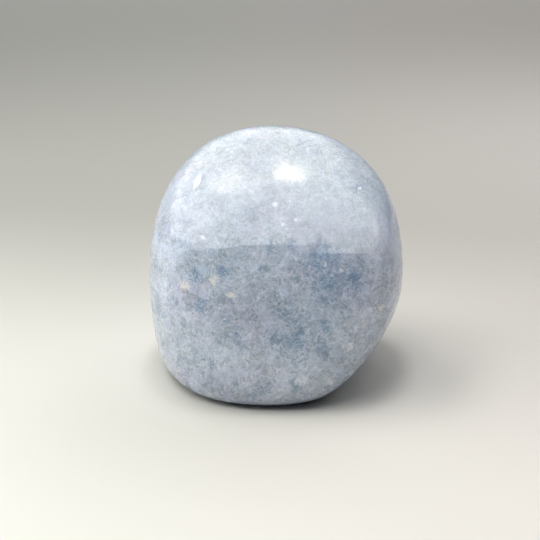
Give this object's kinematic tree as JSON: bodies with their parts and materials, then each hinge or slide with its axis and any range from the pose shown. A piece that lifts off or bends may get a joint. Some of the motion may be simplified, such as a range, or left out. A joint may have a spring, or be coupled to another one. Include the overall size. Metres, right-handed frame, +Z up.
{
  "type": "polished calcite freeform",
  "caption": "Rounded freeform of polished pale blue calcite with a domed crown, a broad front that leans back and a flat base that it stands on.",
  "frame": {"origin": "on the surface the stone stands on, under the middle of its width and depth", "axes": "+Z up, -Y towards the viewer, who sees the broad front that leans back, +X to the viewer's right, where the ground slope is"},
  "size_m": [0.101, 0.0856, 0.0935],
  "materials": {
    "calcite": "polished, slightly translucent, mottled pale blue with paler veins"
  },
  "bodies": {
    "root": {"calcite_stone": "calcite"}
  },
  "joints": []
}
